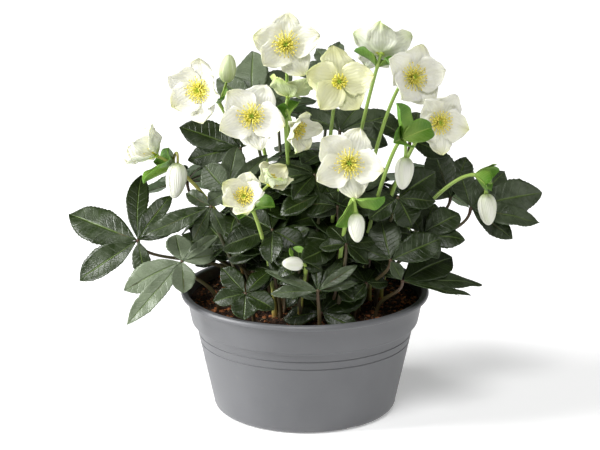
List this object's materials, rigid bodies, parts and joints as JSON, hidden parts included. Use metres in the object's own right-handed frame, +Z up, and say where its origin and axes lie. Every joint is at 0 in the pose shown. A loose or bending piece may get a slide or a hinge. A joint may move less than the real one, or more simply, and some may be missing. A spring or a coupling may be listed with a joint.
{
  "type": "potted plant",
  "caption": "Grey plastic nursery bowl of compost planted with hellebores: dark palmate leaves, open white flowers with yellow stamens, green bracts and nodding buds",
  "frame": {"origin": "centre of the pot's flat underside, on the surface it stands on", "axes": "+Z up the pot's axis; +X to the right along the widest spread of the leaves, with the front of the plant facing -Y"},
  "size_m": [0.4824, 0.2938, 0.4011],
  "materials": {
    "pot_plastic": "satin",
    "compost": "matte",
    "leaf": "satin",
    "stalk": "satin",
    "petal": "matte"
  },
  "bodies": {
    "root": {"pot": "pot_plastic", "compost": "compost", "leaf_back": "leaf", "leaf_back_left": "leaf", "leaf_back_right": "leaf", "leaf_back_upper": "leaf", "leaf_front_left_low": "leaf", "leaf_front_narrow": "leaf", "leaf_front_right": "leaf", "leaf_front_right_low": "leaf", "leaf_left": "leaf", "leaf_left_long": "leaf", "leaf_left_pale": "leaf", "leaf_left_upper": "leaf", "leaf_left_upright": "leaf", "leaf_middle": "leaf", "leaf_middle_left": "leaf", "leaf_middle_low": "leaf", "leaf_right": "leaf", "leaf_right_dark": "leaf", "leaf_right_green": "leaf", "leaf_right_middle": "leaf", "leaf_right_upper": "leaf", "leaf_top_back": "leaf", "leaf_top_left": "leaf", "leaf_top_right": "leaf", "stalk_centre_yellow": "stalk", "stalk_far_left": "stalk", "stalk_far_right_bud": "stalk", "stalk_front": "stalk", "stalk_front_bud": "stalk", "stalk_left_front": "stalk", "stalk_left_low": "stalk", "stalk_low_bud": "stalk", "stalk_middle": "stalk", "stalk_right": "stalk", "stalk_right_bud": "stalk", "stalk_top_left": "stalk", "stalk_top_right": "stalk", "stalk_upper_left": "stalk", "stalk_upper_right": "stalk", "flower_centre_yellow": "petal", "flower_far_left": "petal", "flower_front": "petal", "flower_left_front": "petal", "flower_left_low": "petal", "flower_left_low_back": "petal", "flower_middle": "petal", "flower_middle_low": "petal", "flower_right": "petal", "flower_top_left": "petal", "flower_top_right": "petal", "flower_upper_left": "petal", "flower_upper_right": "petal", "bud_far_right": "petal", "bud_front": "petal", "bud_left": "petal", "bud_low": "petal", "bud_right": "petal", "bud_upper_left": "petal"}
  },
  "joints": []
}
